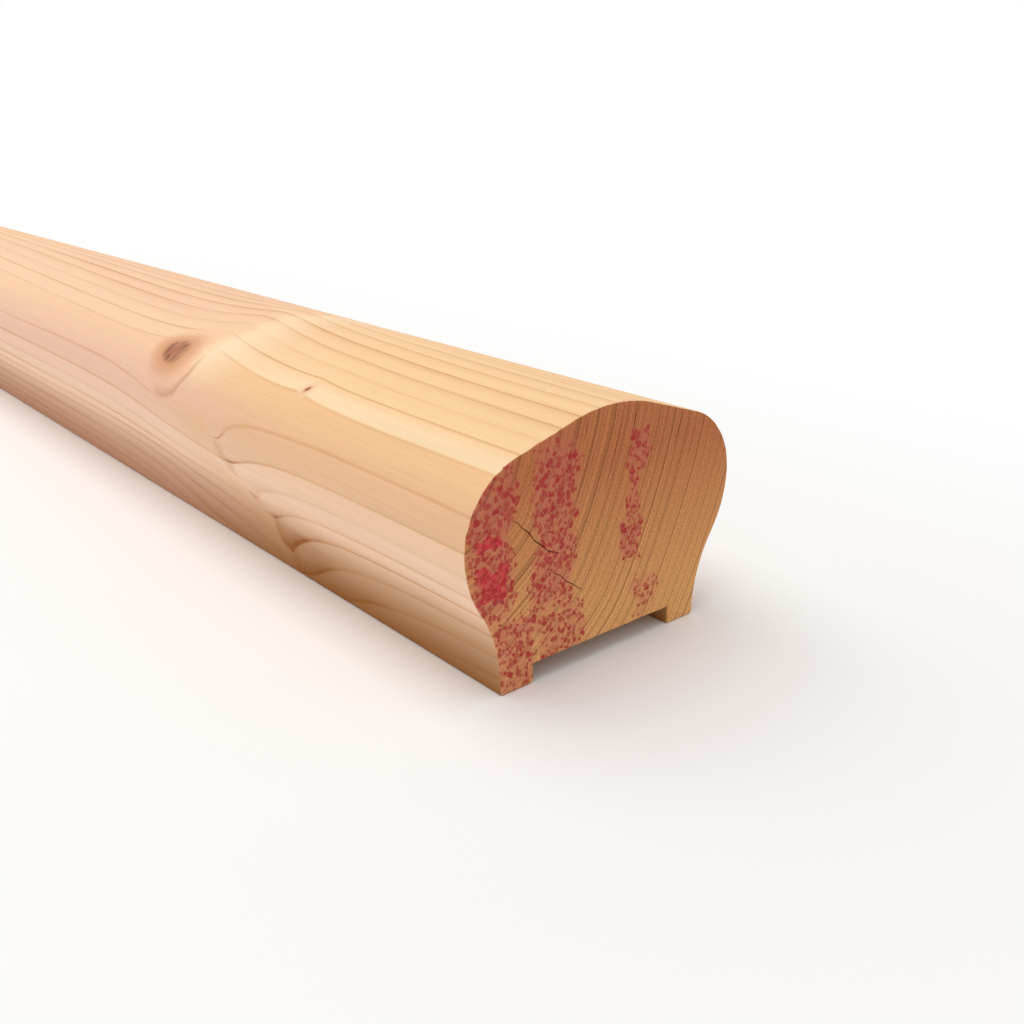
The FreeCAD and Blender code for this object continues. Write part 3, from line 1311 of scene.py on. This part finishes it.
@dataclass(frozen=True)
class BakeSheet:
    """The flat sheet that the finishes are baked on: strips of the sides, the two ends and the crack walls.

    Places and sizes are shares of the sheet, and girths are millimetres.
    """

    strips: int = 3
    strip_start: Point = (0.01, 0.137)
    strip_length: float = 0.98
    strip_half: float = 0.128
    strip_step: float = 0.27
    shown_girth: float = 67.0
    hidden_share: float = 0.42
    drawn_girth: float = 78.5
    marked_end: Point = (0.13, 0.82)
    bare_end: Point = (0.38, 0.82)
    end_size: Point = (0.22, 0.16)
    wall_start: Point = (0.52, 0.83)
    wall_step: Point = (0.02, 0.025)
    wall_scale: Point = (0.002, 0.003)
    walls_in_row: int = 23

    def lay_out(self, rail: Piece, sizes: Handrail) -> None:
        """Give every corner of every face its place on the sheet.

        Args:
            rail: The rail's object.
            sizes: The rail's sizes and outline.
        """
        sheet = rail.data.uv_layers.new(name="OFBake").data
        girths: dict[Point, float] = {}
        walls = 0
        for face in rail.data.polygons:
            is_side = face.material_index == 0
            is_end = not is_side and abs(face.normal.x) > END_FACING
            for loop in face.loop_indices:
                spot = rail.data.vertices[rail.data.loops[loop].vertex_index].co / MM
                if is_side:
                    key = (round(abs(spot.y), 4), round(spot.z, 4))
                    if key not in girths:
                        girths[key] = sizes.girth_of(*key)[0]
                    sheet[loop].uv = self.side_place(spot.x, girths[key], face.center / MM, sizes.length)
                elif is_end:
                    left, foot = self.marked_end if face.normal.x > 0 else self.bare_end
                    width, height = self.end_size
                    sheet[loop].uv = (left + spot.y / (2 * sizes.half_width) * width,
                                      foot + spot.z / sizes.height * height)
                else:
                    sideways = face.normal.cross((1, 0, 0)).normalized()
                    row, column = divmod(walls, self.walls_in_row)
                    run = (spot - face.center / MM).dot(sideways) * self.wall_scale[0]
                    depth = (sizes.length / 2 - abs(spot.x)) * self.wall_scale[1]
                    sheet[loop].uv = (self.wall_start[0] + self.wall_step[0] * column + run,
                                      self.wall_start[1] + self.wall_step[1] * row + depth)
            walls += not is_side and not is_end

    def side_place(self, along: float, girth: float, middle: Vector, length: float) -> Point:
        """Place a corner of the moulded sides on one of the long strips.

        Args:
            along: The corner's place along the rail, in millimetres.
            girth: How far round the half section it is.
            middle: The middle of its face.
            length: The rail's length.

        Returns:
            The place on the sheet.
        """
        strip = length / self.strips
        level = min(max(int((middle.x + length / 2) / strip), 0), self.strips - 1)
        run = (along + length / 2 - level * strip) / strip
        # The hidden underside gets less than half the room of the rest.
        hidden = max(girth - self.shown_girth, 0.0)
        reach = (min(girth, self.shown_girth) + self.hidden_share * hidden) / self.drawn_girth
        side = 1 if middle.y > 0 else -1
        left, middle_line = self.strip_start
        return (left + self.strip_length * run,
                middle_line + self.strip_step * level + self.strip_half * side * reach)


@dataclass(frozen=True)
class Studio:
    """A pale floor under soft light, and the camera where the viewer stands. Sizes are metres and degrees."""

    floor_size: float = 30.0
    floor_colour: str = "#fbfaf8"
    floor_fade: Point = (0.035, 0.22)
    rail_half: float = 1.2
    world_strength: float = 0.60
    lamp_place: Triple = (0.2, -0.35, 1.6)
    lamp_target: Triple = (0.2, 0.0, 0.0)
    lamp_size: Point = (3.0, 1.4)
    lamp_power: float = 21.0
    eye: Triple = (1.30985, -0.11831, 0.08697)
    yaw: float = 41.349
    pitch: float = 20.855
    roll: float = -0.709
    lens: float = 36.615

    def build(self) -> None:
        """Set up the view, the floor, the light and the camera."""
        scene = bpy.context.scene
        scene.view_settings.view_transform = "Standard"
        self.lay_floor()
        self.light_world(scene)
        self.hang_lamp()
        self.place_camera(scene)

    def lay_floor(self) -> None:
        """Lay the floor at the feet of the rail."""
        bpy.ops.object.select_all(action="DESELECT")
        bpy.ops.mesh.primitive_plane_add(size=self.floor_size, location=(0, 0, 0))
        floor = bpy.context.object
        floor.name = "studio_floor"
        made = bpy.data.materials.new("Matt white paper")
        made.use_nodes = True
        tree = made.node_tree
        shader = tree.nodes["Principled BSDF"]
        shader.inputs["Base Color"].default_value = linear(self.floor_colour)
        shader.inputs["Roughness"].default_value = 1.0
        shader.inputs["Specular IOR Level"].default_value = 0.0
        self.whiten_far_floor(tree, shader)
        floor.data.materials.append(made)

    def seen(self, add: Add) -> Node:
        """Tell what the camera or a mirroring surface sees from what lights the room."""
        path = add(Kind.LIGHT_PATH).outputs
        return add(Kind.MAXIMUM, path["Is Camera Ray"], path["Is Glossy Ray"])

    def whiten_far_floor(self, tree: Tree, shader: Node) -> None:
        """Let the floor turn to plain white away from the rail, where it carries no shadow.

        Args:
            tree: The floor's node tree.
            shader: The floor's shader.
        """
        add = partial(wire, tree)
        parts = add(Kind.SEPARATE, add(Kind.COORDINATES).outputs["Object"]).outputs
        past_end = add(Kind.SUBTRACT, add(Kind.ABSOLUTE, parts[0]), self.rail_half)
        gap = add(Kind.COMBINE, add(Kind.MAXIMUM, past_end, 0.0), parts[1])
        away = add(Kind.LENGTH, gap).outputs["Value"]
        fade = add(Kind.EASED_RANGE, away, *self.floor_fade)
        white_share = add(Kind.MULTIPLY, fade, self.seen(add))
        white = add(Kind.EMISSION, WHITE, 1.0)
        both = add(Kind.MIX_SHADER, white_share, shader, white)
        plug(both, tree.nodes["Material Output"].inputs["Surface"])

    def light_world(self, scene: bpy.types.Scene) -> None:
        """Fill the room with even light and show white beyond the floor.

        Args:
            scene: The scene.
        """
        world = bpy.data.worlds.new("Studio")
        scene.world = world
        world.use_nodes = True
        world.node_tree.nodes.clear()
        add = partial(wire, world.node_tree)
        level = add(Kind.RANGE, self.seen(add), 0.0, 1.0, self.world_strength, 1.0)
        add(Kind.WORLD_OUTPUT, add(Kind.BACKGROUND, WHITE, level))

    def hang_lamp(self) -> None:
        """Hang the soft lamp over the rail."""
        bpy.ops.object.light_add(type="AREA", location=self.lamp_place)
        lamp = bpy.context.object
        lamp.name = "Key softbox"
        lamp.data.shape = "RECTANGLE"
        lamp.data.size, lamp.data.size_y = self.lamp_size
        lamp.data.energy = self.lamp_power
        way = Vector(self.lamp_target) - Vector(self.lamp_place)
        lamp.rotation_euler = way.to_track_quat("-Z", "Y").to_euler()

    def place_camera(self, scene: bpy.types.Scene) -> None:
        """Stand the camera by the marked end, turned along the rail.

        Args:
            scene: The scene.
        """
        yaw, pitch, roll = radians(self.yaw), radians(self.pitch), radians(self.roll)
        ahead = Vector((-cos(yaw) * cos(pitch), sin(yaw) * cos(pitch), -sin(pitch)))
        level_right = Vector((sin(yaw), cos(yaw), 0.0))
        level_down = ahead.cross(level_right)
        right = cos(roll) * level_right + sin(roll) * level_down
        down = cos(roll) * level_down - sin(roll) * level_right
        turn = Matrix((right, -down, -ahead)).transposed()
        bpy.ops.object.camera_add()
        camera = bpy.context.object
        camera.matrix_world = Matrix.Translation(self.eye) @ turn.to_4x4()
        camera.data.sensor_width = 36.0
        camera.data.lens = self.lens
        camera.data.clip_start = 0.005
        scene.camera = camera


def main() -> None:
    """Build the rail and the studio, and log the rail's count of faces."""
    logging.basicConfig(level=logging.INFO, format="%(name)s: %(message)s")
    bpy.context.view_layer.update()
    rail = Handrail().build()
    LOG.info("%s: %d faces", rail.name, len(rail.data.polygons))
    Studio().build()


if __name__ == "__main__":
    main()
